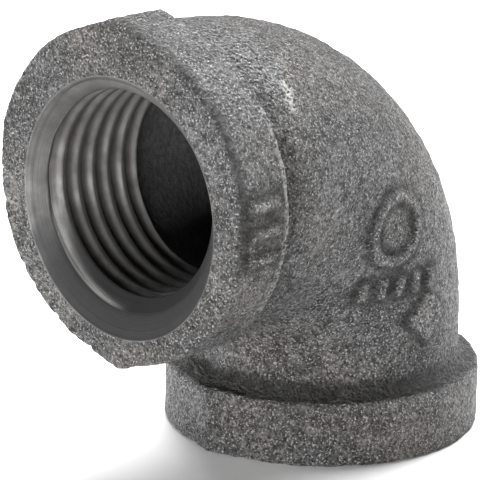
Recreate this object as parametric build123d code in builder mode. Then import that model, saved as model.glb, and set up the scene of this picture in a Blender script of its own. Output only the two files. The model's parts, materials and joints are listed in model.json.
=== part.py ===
from build123d import *
from math import acos, asin, cos, degrees, radians, sin, tan
import os

# Malleable iron threaded elbow, 90 degrees, nominal size 1/2 inch.
# It is one casting, tapped at both ends, so it is one sub-part.
# Millimetres. The origin is the centre of the lower socket's face. The lower
# socket opens down (-Z), the front socket opens towards -Y, and the casting's
# parting plane, which holds both legs' axes, is X = 0.

# Cast outside
band_radius = 15.2              # reinforcing band round each socket
band_width = 6.2
band_edge_radius = 0.45
ridge_height = 0.85             # parting-line ridge, on two sides of each band
ridge_crest_radius = 1.1
front_face_distance = 27.9      # lower leg's axis to the front face
front_axis_height = 27.3        # lower face to the front leg's axis
bend_radius = 17.0              # centreline of the bend
lower_leg_radius = 13.2
front_leg_radius = 14.3         # where the bend starts
front_neck_radius = 13.2        # behind the band
lower_shoulder_radius = 1.4
front_shoulder_radius = 1.0

# Cored waterway between the two tapped holes
waterway_radius = 10.4
waterway_depth = 11.8           # where it starts, on each socket's axis

# Tapped holes, 14 threads per inch on a 1 in 16 taper
tap_drill_radius = 9.25
tap_drill_depth = 12.7          # far enough to open into the slanted end of the waterway
tap_drill_overrun = 2.0         # the cutters start this far outside the face
countersink_radius = 11.8
countersink_tip_radius = 7.5
countersink_slope = 45          # degrees between the countersink and the axis
thread_pitch = 25.4 / 14
thread_root_radius = 10.6       # at the face
thread_root_flat = 0.12
thread_crest_flat = 0.18
thread_taper = 1.79             # degrees, half angle of the cone
thread_half_angle = 30
thread_length = 11.3            # measured from the face
thread_run_in = 0.79            # the tap's first turn starts this far outside the face
thread_cutter_stem = 0.7        # reach of the cutter past the crests
front_countersink_drop = 1.06   # the front countersink was cut low of the tapped hole
front_countersink_shift = 0.20  # and a little towards +X

# Plain raised marks on the +X side
mark_height = 0.35
band_bar_size = (3.6, 0.9)      # along Y, along Z
band_bar_y = -24.9
band_bar_heights = (24.2, 26.6, 29.0)
ring_centre = (-5.6, 22.6)      # Y, Z
ring_radius = 3.6
ring_width = 1.0
row_bar_size = (0.9, 1.9)
row_bar_count = 5
row_bar_spacing = 2.0
row_centre = (-4.4, 16.9)
diamond_centre = (-0.4, 13.0)
diamond_half_diagonal = 2.6

bend_start_height = front_axis_height - bend_radius
front_leg_length = front_face_distance - bend_radius

lower_face = Plane.XY
front_face = Plane(origin=(0, -front_face_distance, front_axis_height), x_dir=(1, 0, 0), z_dir=(0, 1, 0))
front_axis = Axis((0, -front_face_distance, front_axis_height), (0, 1, 0))


def band_outline():
    """Round band with a low arch over the parting line on two sides."""
    Circle(band_radius)
    arch_height = band_radius + ridge_height
    arch_angle = acos(band_radius / arch_height)
    touch_x = band_radius * sin(arch_angle)
    touch_y = band_radius * cos(arch_angle)
    for side in (-1, 1):
        Polygon(
            (-touch_x, side * touch_y),
            (0, side * arch_height),
            (touch_x, side * touch_y),
            align=None,
        )


# What the tap and its drill cut away, entering at Z = 0
with BuildPart() as tapped_hole:
    with BuildLine():
        thread_helix = Helix(
            pitch=thread_pitch,
            height=thread_length + thread_run_in,
            radius=thread_root_radius + thread_run_in * tan(radians(thread_taper)),
            center=(0, 0, -thread_run_in),
            cone_angle=-thread_taper,
        )
    root_half = thread_root_flat / 2
    mouth_half = (thread_pitch - thread_crest_flat) / 2
    flank_depth = (mouth_half - root_half) / tan(radians(thread_half_angle))
    stem_depth = flank_depth + thread_cutter_stem
    with BuildSketch(Plane(origin=thread_helix @ 0, x_dir=(1, 0, 0), z_dir=thread_helix % 0)):
        Polygon(
            (0, root_half),
            (0, -root_half),
            (-flank_depth, -mouth_half),
            (-stem_depth, -mouth_half),
            (-stem_depth, mouth_half),
            (-flank_depth, mouth_half),
            align=None,
        )
    sweep(path=thread_helix, is_frenet=True)
    with BuildSketch(Plane.XY.offset(-tap_drill_overrun)):
        Circle(tap_drill_radius)
    extrude(amount=tap_drill_overrun + tap_drill_depth)

# What the countersink cuts away, entering at Z = 0
with BuildPart() as countersink:
    cone_slope = tan(radians(countersink_slope))
    with BuildSketch(Plane.XZ):
        Polygon(
            (0, -tap_drill_overrun),
            (countersink_radius + tap_drill_overrun * cone_slope, -tap_drill_overrun),
            (countersink_tip_radius, (countersink_radius - countersink_tip_radius) / cone_slope),
            (0, (countersink_radius - countersink_tip_radius) / cone_slope),
            align=None,
        )
    revolve(axis=Axis.Z)

# Raised marks: a skin over the band and the bend, kept only inside each mark's outline
with BuildPart() as band_marks:
    with BuildSketch(front_face):
        Circle(band_radius + mark_height)
    extrude(amount=band_width)
    with BuildSketch(Plane.YZ):
        for bar_height in band_bar_heights:
            with Locations((band_bar_y, bar_height)):
                SlotOverall(*band_bar_size)
    extrude(amount=2 * band_radius, mode=Mode.INTERSECT)

with BuildPart() as bend_marks:
    with BuildSketch(Plane.XY.offset(bend_start_height)):
        Circle(lower_leg_radius + mark_height)
    with BuildSketch(front_face.offset(front_leg_length)):
        Circle(front_leg_radius + mark_height)
    with BuildLine(Plane.YZ):
        marked_bend_line = CenterArc((-bend_radius, bend_start_height), bend_radius, 0, 90)
    sweep(path=marked_bend_line, multisection=True)
    with BuildSketch(Plane.YZ):
        with Locations(ring_centre):
            Circle(ring_radius)
            Circle(ring_radius - ring_width, mode=Mode.SUBTRACT)
        with Locations(row_centre):
            with GridLocations(row_bar_spacing, 0, row_bar_count, 1):
                Rectangle(*row_bar_size)
        with Locations(diamond_centre):
            Rectangle(2**0.5 * diamond_half_diagonal, 2**0.5 * diamond_half_diagonal, rotation=45)
    extrude(amount=2 * band_radius, mode=Mode.INTERSECT)

with BuildPart() as elbow_casting:
    # Bands, with rounded edges
    for face_plane in (lower_face, front_face):
        with BuildSketch(face_plane) as outline:
            band_outline()
            ridge_crests = outline.vertices().sort_by(Axis.Y)
            fillet([ridge_crests[0], ridge_crests[-1]], radius=ridge_crest_radius)
        extrude(amount=band_width)
        band_faces = elbow_casting.faces(Select.LAST).filter_by(face_plane)
        fillet(band_faces.edges(), radius=band_edge_radius)

    # Lower leg
    with BuildSketch(lower_face):
        Circle(lower_leg_radius)
    extrude(amount=bend_start_height)

    # Front leg, swelling from the neck behind the band to the bend
    swell_length = front_leg_length - band_width
    swell_height = front_leg_radius - front_neck_radius
    swell_arc_radius = (swell_length**2 + swell_height**2) / (2 * swell_height)
    with BuildSketch(Plane(origin=front_face.origin, x_dir=(0, 1, 0), z_dir=(1, 0, 0))):
        with BuildLine():
            Line((front_leg_length, 0), (0, 0))
            Line((0, 0), (0, front_neck_radius))
            Line((0, front_neck_radius), (band_width, front_neck_radius))
            JernArc(
                start=(front_leg_length, front_leg_radius),
                tangent=(-1, 0),
                radius=swell_arc_radius,
                arc_size=degrees(asin(swell_length / swell_arc_radius)),
            )
            Line((front_leg_length, front_leg_radius), (front_leg_length, 0))
        make_face()
    revolve(axis=front_axis)

    # Bend
    with BuildSketch(Plane.XY.offset(bend_start_height)):
        Circle(lower_leg_radius)
    with BuildSketch(front_face.offset(front_leg_length)):
        Circle(front_leg_radius)
    with BuildLine(Plane.YZ):
        bend_line = CenterArc((-bend_radius, bend_start_height), bend_radius, 0, 90)
    sweep(path=bend_line, multisection=True)

    # Shoulders where the bands meet the legs
    radius_tolerance = 0.01
    round_edges = elbow_casting.edges().filter_by(GeomType.CIRCLE)
    leg_edges = round_edges.filter_by(lambda edge: abs(edge.radius - lower_leg_radius) < radius_tolerance)
    fillet(leg_edges.sort_by(Axis.Z)[0], radius=lower_shoulder_radius)
    round_edges = elbow_casting.edges().filter_by(GeomType.CIRCLE)
    neck_edges = round_edges.filter_by(lambda edge: abs(edge.radius - front_neck_radius) < radius_tolerance)
    fillet(neck_edges.sort_by(Axis.Y)[0], radius=front_shoulder_radius)

    add(band_marks.part)
    add(bend_marks.part)

    # Waterway, from one drilled hole's end to the other's
    waterway_start = degrees(asin((waterway_depth - bend_start_height) / bend_radius))
    waterway_end = degrees(acos((waterway_depth - front_leg_length) / bend_radius))
    with BuildLine(Plane.YZ):
        waterway_line = CenterArc(
            center=(-bend_radius, bend_start_height),
            radius=bend_radius,
            start_angle=waterway_start,
            arc_size=waterway_end - waterway_start,
        )
    with BuildSketch(Plane(origin=waterway_line @ 0, x_dir=(1, 0, 0), z_dir=waterway_line % 0)):
        Circle(waterway_radius)
    sweep(path=waterway_line, mode=Mode.SUBTRACT)

    # Tapped holes and countersinks
    front_offset = (front_countersink_shift, front_countersink_drop, 0)
    for face_plane, offset in ((lower_face, (0, 0, 0)), (front_face, front_offset)):
        with Locations(face_plane.location):
            add(tapped_hole.part, mode=Mode.SUBTRACT)
        cut_centre = face_plane.from_local_coords(offset)
        with Locations(face_plane.shift_origin(cut_centre).location):
            add(countersink.part, mode=Mode.SUBTRACT)

os.makedirs("parts", exist_ok=True)
elbow_casting.part.label = "elbow_casting"
export_step(elbow_casting.part, "parts/elbow_casting.step")
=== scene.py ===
import json
from math import acos, asin, ceil, cos, pi, radians, sin, tan

import bpy
import bmesh
import numpy as np
from mathutils import Matrix, Vector, noise


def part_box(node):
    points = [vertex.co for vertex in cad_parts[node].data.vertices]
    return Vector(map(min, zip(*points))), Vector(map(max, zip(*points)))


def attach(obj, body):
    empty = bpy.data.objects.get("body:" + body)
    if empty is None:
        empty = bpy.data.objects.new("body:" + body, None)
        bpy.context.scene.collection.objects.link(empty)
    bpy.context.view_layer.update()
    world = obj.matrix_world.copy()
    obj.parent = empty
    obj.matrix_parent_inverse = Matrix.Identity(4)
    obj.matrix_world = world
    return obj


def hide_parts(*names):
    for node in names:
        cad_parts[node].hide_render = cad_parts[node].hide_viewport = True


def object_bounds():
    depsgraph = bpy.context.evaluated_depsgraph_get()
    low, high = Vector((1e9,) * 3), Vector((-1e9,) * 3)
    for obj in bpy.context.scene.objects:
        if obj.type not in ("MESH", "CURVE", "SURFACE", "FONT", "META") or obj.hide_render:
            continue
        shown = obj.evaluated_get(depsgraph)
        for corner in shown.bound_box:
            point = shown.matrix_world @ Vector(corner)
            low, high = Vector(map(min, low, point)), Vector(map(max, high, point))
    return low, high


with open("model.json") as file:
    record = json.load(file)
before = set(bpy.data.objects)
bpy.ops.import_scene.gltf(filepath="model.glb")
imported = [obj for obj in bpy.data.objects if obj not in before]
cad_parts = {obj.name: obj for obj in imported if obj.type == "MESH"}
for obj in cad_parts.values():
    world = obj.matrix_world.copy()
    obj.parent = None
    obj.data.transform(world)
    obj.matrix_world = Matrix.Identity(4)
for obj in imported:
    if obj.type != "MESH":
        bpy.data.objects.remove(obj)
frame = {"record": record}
cad_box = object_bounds()

# Sizes in metres, angles in radians. The outside is drawn along the centreline
# from the front socket's face (-Y) round the bend to the lower socket's face (-Z).
NODE = "elbow_casting"
low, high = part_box(NODE)
mounts = {mount["name"]: mount for mount in frame["record"]["mounts"]}
FRONT_Y = mounts["front_face"]["pos_m"][1]
AXIS_Z = mounts["front_face"]["pos_m"][2]
DRILL_RADIUS = mounts["front_socket"]["dims"]["r_mm"] / 1000

# Outside
BAND_RADIUS = -low.x
RIDGE_TOP = high.z - AXIS_Z
BAND_WIDTH = 0.0062
BAND_EDGE = 0.00045
RIDGE_HEIGHT = 0.00085
BEND_RADIUS = 0.017
LOWER_LEG_RADIUS = 0.0132
FRONT_LEG_RADIUS = 0.0143
FRONT_NECK_RADIUS = 0.0132
LOWER_SHOULDER = 0.0014
FRONT_SHOULDER = 0.0010

# Inside
WATERWAY_RADIUS = 0.0104
WATERWAY_DEPTH = 0.0118         # where it starts, on each socket's axis
COUNTERSINK_RADIUS = 0.0118
# Where the countersink's rim lies far out, its wall runs in to this radius at this depth
COUNTERSINK_KNEE_RADIUS = 0.01080
COUNTERSINK_KNEE_DEPTH = 0.0012
FRONT_COUNTERSINK_DROP = 0.00106
FRONT_COUNTERSINK_SHIFT = 0.00020
PITCH = 0.0254 / 14
CREST_RADIUS = 0.00952          # at the face
ROOT_RADIUS = 0.0106
ROOT_HALF_FLAT = 0.00006
FLANK_ANGLE = radians(30)
THREAD_SLOPE = 1 / 32
FIRST_CREST_DEPTH = 0.00280     # on the first column's line
GROOVES_END = (0.0118, 0.0123)  # depths between which the grooves run out
CREST_ROUNDING = 0.00008
CONE_ROUNDING = 0.00006

# Raised marks on the +X side, as (y, z) places
MARK_HEIGHT = 0.00035
MARK_FLANK = (-0.00012, 0.00028)    # distances from the outline between which a mark slopes
MARKED_SIDE_X = 0.004
RAISED_EDGE = (-0.00025, 0.0001)    # distances between which the marks' lighter tone ends
BAND_BAR_Y = -0.0249
BAND_BAR_HEIGHTS = (0.0242, 0.0266, 0.0290)
BAND_BAR_HALF = (0.0018, 0.00045)
RING_CENTRE = (-0.0056, 0.0226)
RING_MID_RADIUS = 0.0031
RING_HALF_WIDTH = 0.0005
ROW_CENTRE = (-0.0044, 0.0169)
ROW_SPACING = 0.0020
ROW_COUNT = 5
ROW_BAR_HALF = (0.00045, 0.00095)
DIAMOND_CENTRE = (-0.0004, 0.0130)
DIAMOND_HALF_DIAGONAL = 0.0026

# Sand texture: (size of the lumps, height, noise seed)
SAND_LUMPS = ((0.0060, 0.00006, 3), (0.0022, 0.00006, 1), (0.0009, 0.00007, 2), (0.0005, 0.00005, 4))

# Scratch down to bright metal, from and to
SCRATCH = ((0.0101, -0.0170, 0.0374), (0.0116, -0.0176, 0.0357))
SCRATCH_EDGE = (0.0001, 0.0008)     # distances from the line between which it fades

# Metal left between the bands where the mould leaked: (place, radius, height)
LEAKS = (((-0.0057, -0.0122, 0.0068), 0.0013, 0.0008), ((-0.0037, -0.0132, 0.0066), 0.0010, 0.0009),
         ((-0.0020, -0.0137, 0.0065), 0.0009, 0.0006), ((-0.0006, -0.0135, 0.0071), 0.0008, 0.0005))
LEAK_LUMPS = (0.0007, 5)            # size and noise seed
LEAK_UNEVENNESS = 0.5

# Chips along the front band's rim
CHIP_DEPTH = 0.00022
CHIP_LUMPS = (0.0010, 6)            # size and noise seed
CHIP_NOISE = (-0.05, 0.45)          # noise values between which a chip deepens
CHIP_SIDE = (-0.75, -0.65)          # (x, z) direction of the chipped side
CHIP_SPREAD = (0.45, 0.85)          # how far round from that side, as shares of the band's radius
CHIP_REACH = (0.0003, 0.0016)       # distances behind the face
CHIP_RADII = (0.0128, 0.0142)

BEND_START_HEIGHT = AXIS_Z - BEND_RADIUS
FRONT_LEG = -FRONT_Y - BEND_RADIUS
BEND_LENGTH = BEND_RADIUS * pi / 2
LENGTH = FRONT_LEG + BEND_LENGTH + BEND_START_HEIGHT

# How fast the machined material's noise runs along each cut, which draws its tool lines
CONE_LINES = 1600
THREAD_LINES = 0.55
THREAD_LINES_START = np.array([7.0, 0.0, 0.0])      # away from the cone's part of the noise

# Mesh density
OUTER_COLUMNS = 300
INNER_COLUMNS = 192
ROW_STEP = 0.00040
FACE_ROWS = 6
WATERWAY_ROWS = 22
# Rows across one turn of the thread, as shares of the pitch from the crest's middle
THREAD_ROWS = (0, 0.07, 0.115, 0.155, 0.25, 0.35, 0.44, 0.5, 0.56, 0.65, 0.75, 0.845, 0.885, 0.93)


def smoothstep(start, end, value):
    t = np.clip((value - start) / (end - start), 0, 1)
    return t * t * (3 - 2 * t)


def smooth_max(a, b, softness):
    """The larger of two lengths, rounded over where they meet."""
    h = np.clip(0.5 + 0.5 * (a - b) / softness, 0, 1)
    return b * (1 - h) + a * h + softness * h * (1 - h)


class Shell:
    """Collects rings of points and the faces between them into one mesh.

    Each point also has four values: cast, its share of the sand texture; then its share of painted
    shade on the countersink; its share of bright metal, which is real scratches outside and a painted
    highlight in the thread's first groove; and lathe, its place in the pattern of the tool lines.
    """

    def __init__(self):
        self.points = []
        self.values = {"cast": [], "film": [], "bare": [], "lathe": []}
        self.faces = []
        self.slots = []

    def add_points(self, points, cast=0.0, lathe=None, film=0.0, bare=0.0):
        start = len(self.points)
        count = len(points)
        self.points.extend(points)
        self.values["cast"].extend(np.broadcast_to(cast, count))
        self.values["film"].extend(np.broadcast_to(film, count))
        self.values["bare"].extend(np.broadcast_to(bare, count))
        lathe = np.zeros((count, 3)) if lathe is None else lathe
        self.values["lathe"].extend(lathe)
        return np.arange(start, start + count)

    def add_faces(self, faces, slot):
        self.faces.extend(faces)
        self.slots.extend([slot] * len(faces))

    def join_rings(self, ring_a, ring_b, slot):
        """Quads between two closed rings with the same number of points."""
        corners = np.stack([ring_a, np.roll(ring_a, -1), np.roll(ring_b, -1), ring_b], 1)
        self.add_faces([tuple(quad) for quad in corners.tolist()], slot)

    def bridge_rings(self, ring_a, angles_a, ring_b, angles_b, slot):
        """Triangles between two closed rings with different numbers of points, matched by angle."""
        order_a, order_b = np.argsort(angles_a % (2 * pi)), np.argsort(angles_b % (2 * pi))
        ring_a, ring_b = ring_a[order_a], ring_b[order_b]
        angles_a, angles_b = (angles_a % (2 * pi))[order_a], (angles_b % (2 * pi))[order_b]
        count_a, count_b = len(ring_a), len(ring_b)
        a = b = 0
        triangles = []
        while a < count_a or b < count_b:
            next_a = angles_a[(a + 1) % count_a] + 2 * pi * ((a + 1) // count_a)
            next_b = angles_b[(b + 1) % count_b] + 2 * pi * ((b + 1) // count_b)
            here_a, here_b = int(ring_a[a % count_a]), int(ring_b[b % count_b])
            if b >= count_b or (a < count_a and next_a <= next_b):
                triangles.append((here_a, int(ring_a[(a + 1) % count_a]), here_b))
                a += 1
            else:
                triangles.append((here_a, int(ring_b[(b + 1) % count_b]), here_b))
                b += 1
        self.add_faces(triangles, slot)


shell = Shell()
CAST, MACHINED, CORED = range(3)


# --- The outside -----------------------------------------------------------

outer_angles = np.arange(OUTER_COLUMNS) * 2 * pi / OUTER_COLUMNS


def centreline(s):
    """Place (y, z) and outward direction (y, z) of the centreline, s metres from the front face."""
    if s < FRONT_LEG:
        return FRONT_Y + s, AXIS_Z, 0.0, 1.0
    if s < FRONT_LEG + BEND_LENGTH:
        turn = (s - FRONT_LEG) / BEND_RADIUS
        return (-BEND_RADIUS + BEND_RADIUS * sin(turn), BEND_START_HEIGHT + BEND_RADIUS * cos(turn),
                sin(turn), cos(turn))
    return 0.0, LENGTH - s, 1.0, 0.0


def ridge_shape():
    """How far the parting-line arches stand out of the round band, for each column."""
    arch_angle = acos(BAND_RADIUS / (BAND_RADIUS + RIDGE_HEIGHT))
    blunt = arch_angle - acos(BAND_RADIUS / RIDGE_TOP)
    from_ridge = (outer_angles + pi / 2) % pi
    from_ridge = np.minimum(from_ridge, pi - from_ridge)
    flank = np.clip(arch_angle - np.sqrt(from_ridge**2 + blunt**2), 0, None)
    return BAND_RADIUS / np.cos(flank) - BAND_RADIUS


def leg_radius(s):
    """Radius of the casting between the bands."""
    if s < FRONT_LEG:
        length = FRONT_LEG - BAND_WIDTH
        height = FRONT_LEG_RADIUS - FRONT_NECK_RADIUS
        arc = (length**2 + height**2) / (2 * height)
        back = max(FRONT_LEG - s, 0)
        return FRONT_LEG_RADIUS - arc + (arc**2 - min(back, length) ** 2) ** 0.5
    share = min((s - FRONT_LEG) / BEND_LENGTH, 1)
    return FRONT_LEG_RADIUS + (LOWER_LEG_RADIUS - FRONT_LEG_RADIUS) * share


def band_profile(neck_radius, shoulder):
    """Rows of (distance from the face, radius, share of the ridge), from the face's rim to the leg."""
    edge = BAND_RADIUS - BAND_EDGE
    rows = []
    for turn in np.linspace(0, pi / 2, 5):
        rows.append((BAND_EDGE * (1 - cos(turn)), edge + BAND_EDGE * sin(turn), 1.0))
    for s in np.linspace(BAND_EDGE, BAND_WIDTH - BAND_EDGE, 15)[1:-1]:
        rows.append((s, BAND_RADIUS, 1.0))
    for turn in np.linspace(0, pi / 2, 5):
        rows.append((BAND_WIDTH - BAND_EDGE * (1 - sin(turn)), edge + BAND_EDGE * cos(turn), 1.0))
    inner = neck_radius + shoulder
    for share in (0.25, 0.5, 0.75):
        rows.append((BAND_WIDTH, edge + (inner - edge) * share, 1 - share))
    for turn in np.linspace(0, pi / 2, 6):
        s = BAND_WIDTH + shoulder * (1 - cos(turn))
        rows.append((s, neck_radius + shoulder * (1 - sin(turn)), 0.0))
    return rows


def outside_rows():
    """Rows of (distance along the centreline, radius, share of the ridge), from face to face."""
    front = band_profile(leg_radius(BAND_WIDTH + FRONT_SHOULDER), FRONT_SHOULDER)
    lower = band_profile(LOWER_LEG_RADIUS, LOWER_SHOULDER)
    start, end = front[-1][0], LENGTH - lower[-1][0]
    count = round((end - start) / ROW_STEP)
    middle = [(s, leg_radius(s), 0.0) for s in np.linspace(start, end, count + 1)[1:-1]]
    return front + middle + [(LENGTH - s, radius, share) for s, radius, share in reversed(lower)]


def build_outside():
    """The cast outside. Returns its rings, from the front face's rim to the lower face's."""
    ridge = ridge_shape()
    rings = []
    for s, radius, ridge_share in outside_rows():
        y, z, out_y, out_z = centreline(s)
        radii = radius + ridge * ridge_share
        across = radii * np.sin(outer_angles)
        points = np.stack([radii * np.cos(outer_angles), y + across * out_y, z + across * out_z], 1)
        rings.append(shell.add_points(points, cast=1.0))
    for ring_a, ring_b in zip(rings, rings[1:]):
        shell.join_rings(ring_a, ring_b, CAST)
    return rings


# --- The sockets -----------------------------------------------------------

inner_angles = np.arange(INNER_COLUMNS) * 2 * pi / INNER_COLUMNS

# Rounded lip between the face and the countersink: (distance outside the rim, depth) of its rings
LIP = ((0.00012, 0.0), (0.00003, 0.00002), (-0.00005, 0.00008), (-0.00019, 0.00019))
LIP_MARGIN = 0.0004             # the cast face ends this far outside the countersink
LIP_SMOOTHNESS = 0.6            # share of the sand texture that fades out towards the lip

# Helical rows
START_DEPTH = 0.00035
SLIVER = 0.00002                # points nearer than this to the first or last ring are left out

# Painted shade on the countersink that was cut off centre
PAINTED_CONE_SHADE_SIDE = (-0.25, -0.97)      # direction of its thickest part, across and up
PAINTED_CONE_SHADE_SPREAD = (-0.1, 0.55)
PAINTED_CONE_SHADE_THINNEST = 0.3
PAINTED_CONE_SHADE_THICKENING = 0.65
PAINTED_CONE_SHADE_LIP_DEPTH = 0.0001         # full strength from here
PAINTED_CONE_SHADE_END = (0.0026, 0.0032)     # depths between which it ends
CONE_REACH = 0.0002             # the wall counts as countersink up to this far from the cone

# Painted highlight along the thread's first groove
PAINTED_HIGHLIGHT_BRIGHTNESS = 0.9
PAINTED_HIGHLIGHT_RISE = (-0.62, -0.56)      # across the groove, in turns of the thread
PAINTED_HIGHLIGHT_FALL = (-0.50, -0.42)
PAINTED_HIGHLIGHT_START = (radians(-92), radians(-65))           # along it, in angles of the columns
PAINTED_HIGHLIGHT_END = (1.2, 2.2)


class Socket:
    """A tapped hole: face centre, the directions of its columns, its depth and the outside's
    columns, the countersink's offset from the tapped axis, and the slant of its far end."""

    def __init__(self, centre, side, up, inward, outer_up, offset, end_slant):
        self.centre, self.side, self.up = map(np.array, (centre, side, up))
        self.inward, self.outer_up = np.array(inward), np.array(outer_up)
        self.offset = np.array(offset)
        self.end_slant = end_slant

    def place(self, angles, radii, depths):
        around = np.cos(angles)[:, None] * self.side + np.sin(angles)[:, None] * self.up
        depths = np.broadcast_to(depths, angles.shape)
        return self.centre + radii[:, None] * around + depths[:, None] * self.inward

    def polar_angle(self, points):
        """Angle round the socket's axis, as the outside's columns are counted."""
        away = points - self.centre
        return np.arctan2(away @ self.outer_up, away[:, 0])

    def rim(self, angles):
        """Distance from the tapped hole's axis to the countersink's rim."""
        across, upward = self.offset @ self.side, self.offset @ self.up
        along = across * np.cos(angles) + upward * np.sin(angles)
        aside = upward * np.cos(angles) - across * np.sin(angles)
        return along + np.sqrt(COUNTERSINK_RADIUS**2 - aside**2)

    def countersink(self, angles, depths):
        """Radius of the countersink, which is flatter where its rim lies further out."""
        rim = self.rim(angles)
        extra_slope = np.maximum((rim - COUNTERSINK_KNEE_RADIUS) / COUNTERSINK_KNEE_DEPTH, 1) - 1
        return rim - depths - extra_slope * np.minimum(depths, COUNTERSINK_KNEE_DEPTH)

    def film(self, angles):
        """Painted shade, only where the countersink was cut off centre, and thickest on one side."""
        if not self.offset.any():
            return np.zeros(len(angles))
        toward = PAINTED_CONE_SHADE_SIDE[1] * np.sin(angles) + PAINTED_CONE_SHADE_SIDE[0] * np.cos(angles)
        return PAINTED_CONE_SHADE_THINNEST + PAINTED_CONE_SHADE_THICKENING * smoothstep(*PAINTED_CONE_SHADE_SPREAD, toward)

    def end_depth(self, angles):
        """Depth at which the tapped hole opens into the waterway."""
        return WATERWAY_DEPTH + self.end_slant * np.sin(angles)


def painted_groove_highlight(angles, depths):
    """Painted highlight along the thread's first groove, from where it leaves the countersink."""
    signed = (angles + pi) % (2 * pi) - pi
    turns = (depths - FIRST_CREST_DEPTH) / PITCH - signed / (2 * pi)
    across = PAINTED_HIGHLIGHT_BRIGHTNESS * smoothstep(*PAINTED_HIGHLIGHT_RISE, turns) * (1 - smoothstep(*PAINTED_HIGHLIGHT_FALL, turns))
    return across * smoothstep(*PAINTED_HIGHLIGHT_START, signed) * (1 - smoothstep(*PAINTED_HIGHLIGHT_END, signed))


def tapped_radius(socket, angles, depths):
    """Radius of the wall: countersink, groove or crest, whichever was cut deepest."""
    turns = (depths - FIRST_CREST_DEPTH) / PITCH - angles / (2 * pi)
    from_root = (0.5 - np.abs(turns - np.round(turns))) * PITCH
    crest = CREST_RADIUS - THREAD_SLOPE * depths
    root = ROOT_RADIUS - THREAD_SLOPE * depths
    fade = 1 - smoothstep(*GROOVES_END, depths)
    groove = root - np.maximum(from_root - ROOT_HALF_FLAT, 0) / tan(FLANK_ANGLE)
    groove = crest + (groove - crest) * fade
    wall = smooth_max(groove, crest, CREST_ROUNDING)
    return smooth_max(wall, socket.countersink(angles, depths), CONE_ROUNDING)


def build_face(socket, face_ring):
    """The face and the rounded lip, from the outside's rim inwards. Returns the lip's inner ring."""
    rim_points = np.array([shell.points[i] for i in face_ring])
    rim_angles = socket.polar_angle(rim_points)
    countersink_centre = socket.centre + socket.offset
    across = np.cos(rim_angles)[:, None] * np.array([1.0, 0, 0])
    around = across + np.sin(rim_angles)[:, None] * socket.outer_up
    inner_rim = countersink_centre + around * (COUNTERSINK_RADIUS + LIP_MARGIN)
    ring = face_ring
    for row in range(1, FACE_ROWS + 1):
        share = row / FACE_ROWS
        points = rim_points * (1 - share) + inner_rim * share
        next_ring = shell.add_points(points, cast=1 - LIP_SMOOTHNESS * share**4)
        shell.join_rings(ring, next_ring, CAST)
        ring = next_ring

    lip_rings = []
    for extra, depth in LIP:
        radii = socket.rim(inner_angles) + extra
        lathe = np.full((INNER_COLUMNS, 3), (COUNTERSINK_RADIUS + extra) * CONE_LINES) * (1, 0, 0)
        # Painted shade on the countersink's lip, fading in from the face
        film = socket.film(inner_angles) * smoothstep(0.0, PAINTED_CONE_SHADE_LIP_DEPTH, depth)
        points = socket.place(inner_angles, radii, depth)
        lip_rings.append(shell.add_points(points, lathe=lathe, film=film))
    about_countersink = np.array([shell.points[i] for i in lip_rings[0]]) - countersink_centre
    lip_angles = np.arctan2(about_countersink @ socket.outer_up, about_countersink[:, 0])
    shell.bridge_rings(ring, rim_angles, lip_rings[0], lip_angles, CAST)
    for ring_a, ring_b in zip(lip_rings, lip_rings[1:]):
        shell.join_rings(ring_a, ring_b, MACHINED)
    return lip_rings[-1]


def add_thread_points(socket, angles, depths, share):
    """Points of the tapped wall on one helical row, share turns from the first crest."""
    radii = tapped_radius(socket, angles, depths)
    on_cone = smoothstep(CONE_REACH, 0.0, radii - socket.countersink(angles, depths))
    turn = 2 * pi * share
    thread_lathe = np.array([cos(turn), sin(turn), 0]) * THREAD_LINES + THREAD_LINES_START
    cone_lathe = (COUNTERSINK_RADIUS - depths)[:, None] * np.array([CONE_LINES, 0, 0])
    lathe = thread_lathe * (1 - on_cone[:, None]) + cone_lathe * on_cone[:, None]
    # Painted shade on the countersink's wall only, fading out deeper in
    film = socket.film(angles) * on_cone * (1 - smoothstep(*PAINTED_CONE_SHADE_END, depths))
    # Painted highlight along the thread's first groove
    bare = painted_groove_highlight(angles, depths)
    points = socket.place(angles, radii, depths)
    return shell.add_points(points, lathe=lathe, film=film * (1 - bare), bare=bare)


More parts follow.
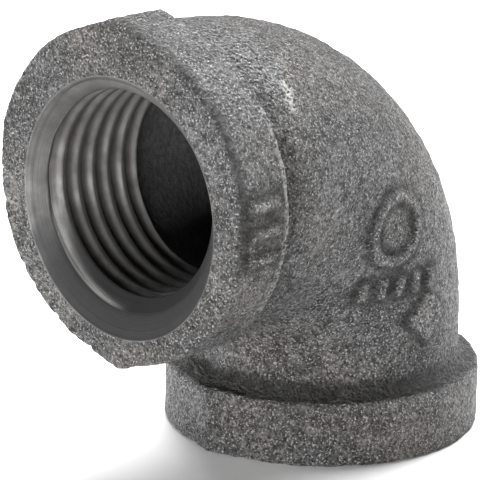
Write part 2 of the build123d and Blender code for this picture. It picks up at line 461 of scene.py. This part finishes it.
def build_thread(socket, lip_ring):
    """The countersink and the thread, in rows that follow the helix and are cut off at the start
    depth and at the slanted far end. Returns the ring at the far end."""
    start_radii = tapped_radius(socket, inner_angles, np.full(INNER_COLUMNS, START_DEPTH))
    start_lathe = np.full((INNER_COLUMNS, 3), (COUNTERSINK_RADIUS - START_DEPTH) * CONE_LINES) * (1, 0, 0)
    start_points = socket.place(inner_angles, start_radii, START_DEPTH)
    # The countersink's first ring, with its painted shade
    start_ring = shell.add_points(start_points, lathe=start_lathe, film=socket.film(inner_angles))
    shell.join_rings(lip_ring, start_ring, MACHINED)
    end_depths = socket.end_depth(inner_angles)
    end_radii = tapped_radius(socket, inner_angles, end_depths)
    end_ring = shell.add_points(socket.place(inner_angles, end_radii, end_depths))

    rows = len(THREAD_ROWS)
    first_row = (int((START_DEPTH - FIRST_CREST_DEPTH) // PITCH) - 1) * rows
    last_row = ceil((end_depths.max() - FIRST_CREST_DEPTH) / PITCH) * rows
    grid = {}
    for row in range(first_row, last_row + 1):
        share = row // rows + THREAD_ROWS[row % rows]
        depths = FIRST_CREST_DEPTH + PITCH * (share + inner_angles / (2 * pi))
        ring = np.where(depths <= START_DEPTH + SLIVER, start_ring, end_ring)
        inside = (depths > START_DEPTH + SLIVER) & (depths < end_depths - SLIVER)
        if inside.any():
            ring[inside] = add_thread_points(socket, inner_angles[inside], depths[inside], share)
        grid[row] = ring.tolist()

    faces = []
    past_end = [int(end_ring[0])]
    for row in range(first_row, last_row):
        here, there = grid[row], grid[row + 1]
        # One full turn later the rows meet again, a pitch deeper
        here_wrapped = here + grid.get(row + rows, past_end)[:1]
        there_wrapped = there + grid.get(row + rows + 1, past_end)[:1]
        for column in range(INNER_COLUMNS):
            corners = (here[column], there[column], there_wrapped[column + 1], here_wrapped[column + 1])
            corners = [c for i, c in enumerate(corners) if c != corners[i - 1]]
            if len(set(corners)) > 2:
                faces.append(tuple(corners))
    shell.add_faces(faces, MACHINED)
    return end_ring


def build_waterway(front_ring, lower_ring):
    """The cored bend between the two tapped holes."""
    start = asin((WATERWAY_DEPTH - BEND_START_HEIGHT) / BEND_RADIUS)
    end = acos((WATERWAY_DEPTH - FRONT_LEG) / BEND_RADIUS)
    ring = front_ring
    for turn in np.linspace(end, start, WATERWAY_ROWS):
        along = np.array([0, cos(turn), sin(turn)])
        centre = np.array([0, -BEND_RADIUS, BEND_START_HEIGHT]) + BEND_RADIUS * along
        across = -np.cos(inner_angles)[:, None] * np.array([1.0, 0, 0])
        around = across + np.sin(inner_angles)[:, None] * along
        next_ring = shell.add_points(centre + WATERWAY_RADIUS * around)
        shell.join_rings(ring, next_ring, CORED)
        ring = next_ring
    # The lower socket counts its columns the other way round
    shell.join_rings(ring, lower_ring[(-np.arange(INNER_COLUMNS)) % INNER_COLUMNS], CORED)


# --- Surface relief --------------------------------------------------------

SEED_STEPS = (7.31, 3.17, 5.53)         # moves each seed to its own part of the noise
NOISE_ROUGHNESS = 0.8
NOISE_LACUNARITY = 2.1
NOISE_OCTAVES = 2


def box_distance(y, z, centre, half, turned=0.0):
    """Signed distance to a rectangle on the (y, z) plane."""
    dy, dz = y - centre[0], z - centre[1]
    along = np.abs(dy * cos(turned) + dz * sin(turned)) - half[0]
    across = np.abs(dz * cos(turned) - dy * sin(turned)) - half[1]
    outside = np.hypot(np.maximum(along, 0), np.maximum(across, 0))
    return outside + np.minimum(np.maximum(along, across), 0)


def mark_distance(points):
    """Signed distance to the nearest raised mark, seen along X."""
    y, z = points[:, 1], points[:, 2]
    distances = [box_distance(y, z, (BAND_BAR_Y, height), BAND_BAR_HALF) for height in BAND_BAR_HEIGHTS]
    radius = np.hypot(y - RING_CENTRE[0], z - RING_CENTRE[1])
    distances.append(np.abs(radius - RING_MID_RADIUS) - RING_HALF_WIDTH)
    for bar in range(ROW_COUNT):
        bar_y = ROW_CENTRE[0] + (bar - (ROW_COUNT - 1) / 2) * ROW_SPACING
        distances.append(box_distance(y, z, (bar_y, ROW_CENTRE[1]), ROW_BAR_HALF))
    half_side = DIAMOND_HALF_DIAGONAL / 2**0.5
    distances.append(box_distance(y, z, DIAMOND_CENTRE, (half_side, half_side), pi / 4))
    return np.where(points[:, 0] > MARKED_SIDE_X, np.min(distances, 0), 1.0)


def noise_field(points, size, seed):
    """Smooth noise round zero whose lumps are about size across."""
    offset = Vector([seed * step for step in SEED_STEPS])
    places = [Vector(p) / size + offset for p in points]
    return np.array([noise.fractal(p, NOISE_ROUGHNESS, NOISE_LACUNARITY, NOISE_OCTAVES) for p in places])


def relief(points, distance):
    """Height of the as-cast surface over the plain one, with the distance to the nearest mark."""
    height = MARK_HEIGHT * (1 - smoothstep(*MARK_FLANK, distance))
    for size, tall, seed in SAND_LUMPS:
        height += tall * noise_field(points, size, seed)
    for place, radius, tall in LEAKS:
        away = np.linalg.norm(points - np.array(place), axis=1)
        uneven = 1 + LEAK_UNEVENNESS * noise_field(points, *LEAK_LUMPS)
        height += tall * (1 - smoothstep(0.0, radius, away)) * uneven
    x, y, z = points.T
    lean = np.clip(CHIP_SIDE[0] * x + CHIP_SIDE[1] * (z - AXIS_Z), 0, None) / BAND_RADIUS
    near_rim = 1 - smoothstep(*CHIP_REACH, y - FRONT_Y)
    near_rim *= smoothstep(*CHIP_RADII, np.hypot(x, z - AXIS_Z))
    chips = smoothstep(*CHIP_NOISE, noise_field(points, *CHIP_LUMPS))
    return height - CHIP_DEPTH * chips * near_rim * smoothstep(*CHIP_SPREAD, lean)


# Dirt and painted shade. A START, END, REACH, RADII or SPREAD is the two values between which it changes
DIRT_AND_PAINTED_SHADE_LUMPS = (0.0016, 7)               # size and noise seed of its uneven patches
HALO_START = (-0.0002, 0.0002)          # round the marks, as distances from their outlines
HALO_END = (0.0003, 0.0012)
HALO_STRENGTH = 0.95
HALO_PATCHINESS = 0.5
BAND_EDGE_REACH = (0.0, 0.0009)         # in from the bands' outer radius
LEDGE_END = (0.0005, 0.0013)            # on the lower band's ledge
LEDGE_MIDDLE = BAND_WIDTH + 0.0005
LEDGE_WAVINESS = 0.0003
LEDGE_SIDE = (0.55, -0.83)              # (x, y) direction of its darkest part
LEDGE_SPREAD = (0.1, 0.75)
LEDGE_LEAST = 0.35                      # share of it on the far side
NECK_END = (0.0008, 0.0022)             # behind the front band
NECK_MIDDLE = BAND_WIDTH + 0.0008
NECK_STRENGTH = 0.8
NECK_EVEN_SHARE = 0.35
NECK_PATCHINESS = 0.5
RIM_START = (0.00005, 0.0002)           # along the front band's rim, behind the face
RIM_END = (0.0006, 0.0012)
RIM_RADII = (0.0140, 0.0148)
RIM_SIDE = (0.6, 0.8)                   # (x, z) direction of its darkest part
RIM_SPREAD = (0.30, 0.6)
RIM_STRENGTH = 1.1


def dirt(points, distance):
    """Dirt and painted shade round the marks and behind both bands, and a painted shadow along the front
    band's rim.
    """
    x, y, z = points.T
    patchy = noise_field(points, *DIRT_AND_PAINTED_SHADE_LUMPS)
    # Painted shade, with some dirt, round the feet of the raised marks
    halo = smoothstep(*HALO_START, distance) * (1 - smoothstep(*HALO_END, distance))
    halo *= HALO_STRENGTH + HALO_PATCHINESS * patchy

    # Painted shade, with some dirt, in the corner above the lower band, darkest on its front right
    toward = (LEDGE_SIDE[0] * x + LEDGE_SIDE[1] * y) / BAND_RADIUS
    ledge = 1 - smoothstep(*LEDGE_END, np.abs(z - LEDGE_MIDDLE + LEDGE_WAVINESS * patchy))
    ledge *= smoothstep(*BAND_EDGE_REACH, BAND_RADIUS - np.hypot(x, y))
    ledge *= LEDGE_LEAST + (1 - LEDGE_LEAST) * smoothstep(*LEDGE_SPREAD, toward)

    # Painted shade, with patchy dirt, in the corner behind the front band
    front_radius = np.hypot(x, z - AXIS_Z)
    behind = 1 - smoothstep(*NECK_END, np.abs(y - FRONT_Y - NECK_MIDDLE))
    behind *= smoothstep(*BAND_EDGE_REACH, BAND_RADIUS - front_radius)
    behind *= NECK_EVEN_SHARE + NECK_PATCHINESS * patchy

    # Painted shadow along the front band's rim, on its upper right
    rim = smoothstep(*RIM_START, y - FRONT_Y) * (1 - smoothstep(*RIM_END, y - FRONT_Y))
    toward = (RIM_SIDE[0] * x + RIM_SIDE[1] * (z - AXIS_Z)) / BAND_RADIUS
    rim *= smoothstep(*RIM_RADII, front_radius) * smoothstep(*RIM_SPREAD, toward)

    return np.clip(halo + ledge + NECK_STRENGTH * np.clip(behind, 0, 1) + RIM_STRENGTH * rim, 0, 1)


# Worn line on the front band's back edge
WORN_LINE_Y = FRONT_Y + BAND_WIDTH - 0.0003
WORN_LINE_EDGE = (0.0002, 0.0006)
WORN_LINE_SPREAD = (0.7, 0.95)          # cosines of the angle from +X
WORN_LINE_STRENGTH = 0.5


def scuffs(points):
    """Bare bright metal: a scratch above the bend's +X side, and the front band's back edge."""
    start, end = map(np.array, SCRATCH)
    line = end - start
    along = np.clip((points - start) @ line / (line @ line), 0, 1)
    away = np.linalg.norm(points - start - along[:, None] * line, axis=1)
    x, y, z = points.T
    radius = np.hypot(x, z - AXIS_Z)
    edge = 1 - smoothstep(*WORN_LINE_EDGE, np.abs(y - WORN_LINE_Y))
    edge *= smoothstep(*WORN_LINE_SPREAD, x / radius) * (radius > BAND_RADIUS - BAND_EDGE)
    return np.clip(1 - smoothstep(*SCRATCH_EDGE, away) + WORN_LINE_STRENGTH * edge, 0, 1)


def build_mesh():
    """The closed surface, still plain, with its normals outwards."""
    front_tilt = asin((WATERWAY_DEPTH - FRONT_LEG) / BEND_RADIUS)
    front = Socket(
        centre=(0, FRONT_Y, AXIS_Z), side=(-1, 0, 0), up=(0, 0, 1), inward=(0, 1, 0), outer_up=(0, 0, 1),
        offset=(FRONT_COUNTERSINK_SHIFT, 0, -FRONT_COUNTERSINK_DROP),
        end_slant=DRILL_RADIUS * tan(front_tilt),
    )
    lower_tilt = asin((WATERWAY_DEPTH - BEND_START_HEIGHT) / BEND_RADIUS)
    lower = Socket(
        centre=(0, 0, 0), side=(-1, 0, 0), up=(0, -1, 0), inward=(0, 0, 1), outer_up=(0, 1, 0),
        offset=(0, 0, 0),
        end_slant=-DRILL_RADIUS * tan(lower_tilt),
    )
    rings = build_outside()
    front_end = build_thread(front, build_face(front, rings[0]))
    lower_end = build_thread(lower, build_face(lower, rings[-1]))
    build_waterway(front_end, lower_end)

    mesh = bpy.data.meshes.new("elbow_casting_skin")
    mesh.from_pydata([tuple(p) for p in shell.points], [], shell.faces)
    mesh.polygons.foreach_set("material_index", shell.slots)
    mesh.polygons.foreach_set("use_smooth", [True] * len(shell.faces))
    shape = bmesh.new()
    shape.from_mesh(mesh)
    bmesh.ops.recalc_face_normals(shape, faces=shape.faces)
    shape.to_mesh(mesh)
    shape.free()
    mesh.update()
    return mesh


def finish_surface(mesh):
    """Raises the cast points by their relief, and stores what the materials read at each point."""
    points = np.array(shell.points)
    flat = np.zeros(len(points) * 3, np.float32)
    mesh.vertices.foreach_get("normal", flat)
    normals = flat.reshape(-1, 3).astype(float)
    cast = np.array(shell.values["cast"], float)
    rough = cast > 0
    distance = mark_distance(points[rough])
    height, raised, dark = np.zeros((3, len(points)))
    height[rough] = relief(points[rough], distance) * cast[rough]
    raised[rough] = 1 - smoothstep(*RAISED_EDGE, distance)
    # Dirt and painted shade on the cast skin, and painted shade on the countersink
    dark[rough] = dirt(points[rough], distance)
    dark[~rough] = np.array(shell.values["film"])[~rough]
    # Bright metal: real scratches on the cast skin, and the painted highlight in the first groove
    bare = np.array(shell.values["bare"], float)
    bare[rough] = scuffs(points[rough])
    moved = points + normals * height[:, None]
    moved[:, 2] = np.maximum(moved[:, 2], 0.0)      # nothing goes through the floor
    mesh.vertices.foreach_set("co", moved.astype(np.float32).ravel())
    mesh.update()

    for name, values in (("raised", raised), ("dirt", dark), ("bare", bare)):
        attribute = mesh.attributes.new(name, "FLOAT", "POINT")
        attribute.data.foreach_set("value", values.astype(np.float32))
    lathe = np.array(shell.values["lathe"], np.float32)
    mesh.attributes.new("lathe", "FLOAT_VECTOR", "POINT").data.foreach_set("vector", lathe.ravel())


# --- Materials -------------------------------------------------------------

# Patterns, in repeats per metre
GRAIN_SCALE = 3900
PIT_SCALE = 2700
SPECK_SCALE = 5200
CLUMP_SCALE = 1100
PATCH_SCALE = 170
TINT_SCALE = 90
STAIN_SCALE = 420
CORE_GRAIN_SCALE = 1800
TOOL_LINE_SCALE = 3.0           # on the lathe attribute, which has its own lengths
PIT_SHARE = 0.35

GLINT_GREY = (0.44, 0.44, 0.44)
BROWN_TINT = (1.0, 0.935, 0.865)
BARE_CAST_IRON = (0.50, 0.50, 0.49)
RAISED_TINT = (1.2, 1.2, 1.2)
DIRT_AND_PAINTED_SHADE_BLACK = (0.016, 0.015, 0.014)
PAINTED_CONE_SHADE_BLACK = (0.014, 0.014, 0.015)
PAINTED_HIGHLIGHT_GREY = (0.42, 0.41, 0.40)
FLOOR_GREY = (0.92, 0.92, 0.92, 1)

# The mix node's colour sockets
MIX_A, MIX_B, MIX_RESULT = 6, 7, 2


def new_material(name):
    material = bpy.data.materials.new(name)
    material.use_nodes = True
    nodes = material.node_tree.nodes
    shader = next(n for n in nodes if n.type == "BSDF_PRINCIPLED")
    return material, nodes, material.node_tree.links, shader


def noise_node(nodes, links, vector, scale, detail, roughness):
    node = nodes.new("ShaderNodeTexNoise")
    node.inputs["Scale"].default_value = scale
    node.inputs["Detail"].default_value = detail
    node.inputs["Roughness"].default_value = roughness
    links.new(vector, node.inputs["Vector"])
    return node.outputs["Fac"]


def ramp_node(nodes, links, value, *stops):
    """Maps a value to colours, as (place, grey or colour) stops."""
    node = nodes.new("ShaderNodeValToRGB")
    ramp = node.color_ramp
    while len(ramp.elements) < len(stops):
        ramp.elements.new(0.5)
    for element, (place, colour) in zip(ramp.elements, stops):
        element.position = place
        element.color = (colour, colour, colour, 1) if isinstance(colour, float) else (*colour, 1)
    links.new(value, node.inputs["Fac"])
    return node.outputs["Color"]


def mix_node(nodes, links, blend, factor, a, b):
    """Blends two colours. The factor and both colours can be a constant or another node's output."""
    node = nodes.new("ShaderNodeMix")
    node.data_type = "RGBA"
    node.blend_type = blend
    sockets = node.inputs["Factor"], node.inputs[MIX_A], node.inputs[MIX_B]
    for socket, value in zip(sockets, (factor, a, b)):
        if isinstance(value, bpy.types.NodeSocket):
            links.new(value, socket)
        elif isinstance(value, tuple):
            socket.default_value = (*value, 1)
        else:
            socket.default_value = value
    return node.outputs[MIX_RESULT]


def bump_node(nodes, links, height, distance, strength, normal=None):
    node = nodes.new("ShaderNodeBump")
    node.inputs["Distance"].default_value = distance
    node.inputs["Strength"].default_value = strength
    links.new(height, node.inputs["Height"])
    if normal is not None:
        links.new(normal, node.inputs["Normal"])
    return node.outputs["Normal"]


def attribute_node(nodes, name, output="Fac"):
    node = nodes.new("ShaderNodeAttribute")
    node.attribute_name = name
    return node.outputs[output]


def cast_material():
    """Black iron as it left the sand: dark grains, bright specks, brown patches, and dark dirt with
    painted shade.
    """
    material, nodes, links, shader = new_material("sand_cast_skin")
    place = nodes.new("ShaderNodeTexCoord").outputs["Object"]
    fine = noise_node(nodes, links, place, GRAIN_SCALE, 3, 0.75)
    pits = nodes.new("ShaderNodeTexVoronoi")
    pits.inputs["Scale"].default_value = PIT_SCALE
    links.new(place, pits.inputs["Vector"])
    grain = mix_node(nodes, links, "MIX", PIT_SHARE, fine, pits.outputs["Distance"])
    speck = noise_node(nodes, links, place, SPECK_SCALE, 1, 0.5)
    clump = noise_node(nodes, links, place, CLUMP_SCALE, 3, 0.65)
    patch = noise_node(nodes, links, place, PATCH_SCALE, 3, 0.6)
    tint = noise_node(nodes, links, place, TINT_SCALE, 3, 0.6)

    tone = ramp_node(nodes, links, grain, (0.30, 0.018), (0.45, 0.059), (0.60, 0.146))
    clumps = ramp_node(nodes, links, clump, (0.34, 0.36), (0.5, 0.92), (0.66, 1.36))
    patches = ramp_node(nodes, links, patch, (0.34, 0.60), (0.66, 1.22))
    tone = mix_node(nodes, links, "MULTIPLY", 1.0, tone, clumps)
    tone = mix_node(nodes, links, "MULTIPLY", 1.0, tone, patches)
    glint = ramp_node(nodes, links, speck, (0.57, 0.0), (0.67, 0.75))
    tone = mix_node(nodes, links, "MIX", glint, tone, GLINT_GREY)
    brown = ramp_node(nodes, links, tint, (0.45, 0.0), (0.62, 0.8))
    tone = mix_node(nodes, links, "MULTIPLY", brown, tone, BROWN_TINT)
    flecks = ramp_node(nodes, links, grain, (0.42, 0.0), (0.54, 1.0))
    bare = mix_node(nodes, links, "MULTIPLY", 1.0, attribute_node(nodes, "bare", "Color"), flecks)
    tone = mix_node(nodes, links, "MIX", bare, tone, BARE_CAST_IRON)
    raised = attribute_node(nodes, "raised")
    tone = mix_node(nodes, links, "MULTIPLY", raised, tone, RAISED_TINT)
    # Near-black dirt and painted shade, broken up by the clumps
    breakup = ramp_node(nodes, links, clump, (0.3, 1.0), (0.75, 0.7))
    dark = mix_node(nodes, links, "MULTIPLY", 1.0, attribute_node(nodes, "dirt", "Color"), breakup)
    colour = mix_node(nodes, links, "MIX", dark, tone, DIRT_AND_PAINTED_SHADE_BLACK)
    links.new(colour, shader.inputs["Base Color"])

    shader.inputs["Metallic"].default_value = 0.35
    roughness = ramp_node(nodes, links, grain, (0.30, 0.62), (0.62, 0.40))
    links.new(roughness, shader.inputs["Roughness"])
    normal = bump_node(nodes, links, clump, distance=0.00090, strength=0.9)
    normal = bump_node(nodes, links, grain, distance=0.00150, strength=1.0, normal=normal)
    links.new(normal, shader.inputs["Normal"])
    return material


def machined_material():
    """Cut iron: fine tool lines, brownish stains, painted shade on the countersink and one painted
    highlight in the thread's first groove.
    """
    material, nodes, links, shader = new_material("machined_iron")
    place = nodes.new("ShaderNodeTexCoord").outputs["Object"]
    lathe = attribute_node(nodes, "lathe", "Vector")
    rings = noise_node(nodes, links, lathe, TOOL_LINE_SCALE, 4, 0.7)
    stain = noise_node(nodes, links, place, STAIN_SCALE, 4, 0.6)
    tone = ramp_node(nodes, links, rings, (0.3, 0.036), (0.7, 0.120))
    stains = ramp_node(nodes, links, stain, (0.35, (0.62, 0.58, 0.55)), (0.65, (1.0, 0.98, 0.96)))
    tone = mix_node(nodes, links, "MULTIPLY", 1.0, tone, stains)
    # Painted shade on the countersink
    tone = mix_node(nodes, links, "MIX", attribute_node(nodes, "dirt"), tone, PAINTED_CONE_SHADE_BLACK)
    # Painted highlight in the thread's first groove
    colour = mix_node(nodes, links, "MIX", attribute_node(nodes, "bare"), tone, PAINTED_HIGHLIGHT_GREY)
    links.new(colour, shader.inputs["Base Color"])
    shader.inputs["Metallic"].default_value = 0.55
    roughness = ramp_node(nodes, links, stain, (0.3, 0.66), (0.7, 0.48))
    links.new(roughness, shader.inputs["Roughness"])
    normal = bump_node(nodes, links, rings, distance=0.00005, strength=0.6)
    links.new(normal, shader.inputs["Normal"])
    return material


def cored_material():
    """Dull black iron where the sand core was."""
    material, nodes, links, shader = new_material("cored_waterway")
    place = nodes.new("ShaderNodeTexCoord").outputs["Object"]
    grain = noise_node(nodes, links, place, CORE_GRAIN_SCALE, 4, 0.6)
    tone = ramp_node(nodes, links, grain, (0.3, 0.018), (0.7, 0.050))
    links.new(tone, shader.inputs["Base Color"])
    shader.inputs["Roughness"].default_value = 0.85
    normal = bump_node(nodes, links, grain, distance=0.0003, strength=0.7)
    links.new(normal, shader.inputs["Normal"])
    return material


# --- Object ----------------------------------------------------------------

elbow_mesh = build_mesh()
finish_surface(elbow_mesh)
for material in (cast_material(), machined_material(), cored_material()):
    elbow_mesh.materials.append(material)
elbow = bpy.data.objects.new("elbow_casting_skin", elbow_mesh)
bpy.context.scene.collection.objects.link(elbow)
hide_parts(NODE)
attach(elbow, "root")


# --- Floor, light and camera -----------------------------------------------

FLOOR_HALF_SIZE = 3.0
FLOOR_GAP = 0.00002             # keeps the floor clear of the lower face

# (name, place, (width, height), power in watts); all face the middle of the part
SOFTBOXES = (
    ("top_softbox", (-0.13, 0.28, 0.48), (0.60, 0.45), 12.6),
    ("front_softbox", (-0.34, -0.44, 0.14), (0.70, 0.40), 1.10),
    ("low_softbox", (0.04, -0.22, 0.012), (0.34, 0.02), 1.30),
)
AMBIENT_STRENGTH = 0.14

CAMERA_AZIMUTH = radians(43.10)     # from -Y towards +X
CAMERA_ELEVATION = radians(16.60)
CAMERA_ROLL = radians(0.42)
CAMERA_AIM = (0.01769, -0.03065, 0.02772)
CAMERA_DISTANCE = 0.21048
SENSOR_WIDTH_MM = 36.0
LENS_MM = 191.77
CLIP_START = 0.01


def build_floor():
    half = FLOOR_HALF_SIZE
    corners = [(-half, -half, 0), (half, -half, 0), (half, half, 0), (-half, half, 0)]
    mesh = bpy.data.meshes.new("floor")
    mesh.from_pydata(corners, [], [(0, 1, 2, 3)])
    floor = bpy.data.objects.new("floor", mesh)
    floor.location.z = -FLOOR_GAP
    bpy.context.scene.collection.objects.link(floor)
    material, nodes, links, shader = new_material("pale_floor")
    shader.inputs["Base Color"].default_value = FLOOR_GREY
    shader.inputs["Roughness"].default_value = 0.9
    mesh.materials.append(material)


def add_softbox(name, place, aim, size, power):
    light = bpy.data.lights.new(name, "AREA")
    light.shape = "RECTANGLE"
    light.size, light.size_y = size
    light.energy = power
    lamp = bpy.data.objects.new(name, light)
    lamp.location = place
    lamp.rotation_euler = (Vector(aim) - Vector(place)).to_track_quat("-Z", "Y").to_euler()
    bpy.context.scene.collection.objects.link(lamp)


def build_lights():
    middle = (cad_box[0] + cad_box[1]) / 2
    for name, place, size, power in SOFTBOXES:
        add_softbox(name, place, middle, size, power)
    world = bpy.data.worlds.new("studio")
    bpy.context.scene.world = world
    world.use_nodes = True
    background = world.node_tree.nodes["Background"]
    background.inputs["Color"].default_value = (1, 1, 1, 1)
    background.inputs["Strength"].default_value = AMBIENT_STRENGTH


def build_camera():
    """The camera looks at the elbow from its right front, a little above."""
    azimuth, elevation, roll = CAMERA_AZIMUTH, CAMERA_ELEVATION, CAMERA_ROLL
    back = Vector((sin(azimuth) * cos(elevation), -cos(azimuth) * cos(elevation), sin(elevation)))
    right = Vector((cos(azimuth), sin(azimuth), 0))
    up = back.cross(right)
    turned_right = right * cos(roll) + up * sin(roll)
    turned_up = up * cos(roll) - right * sin(roll)
    data = bpy.data.cameras.new("camera")
    data.sensor_width = SENSOR_WIDTH_MM
    data.lens = LENS_MM
    data.clip_start = CLIP_START
    camera = bpy.data.objects.new("camera", data)
    axes = Matrix((turned_right, turned_up, back)).transposed()
    place = Vector(CAMERA_AIM) + back * CAMERA_DISTANCE
    camera.matrix_world = Matrix.Translation(place) @ axes.to_4x4()
    bpy.context.scene.collection.objects.link(camera)
    bpy.context.scene.camera = camera


build_floor()
build_lights()
build_camera()
bpy.context.scene.view_settings.view_transform = "Standard"
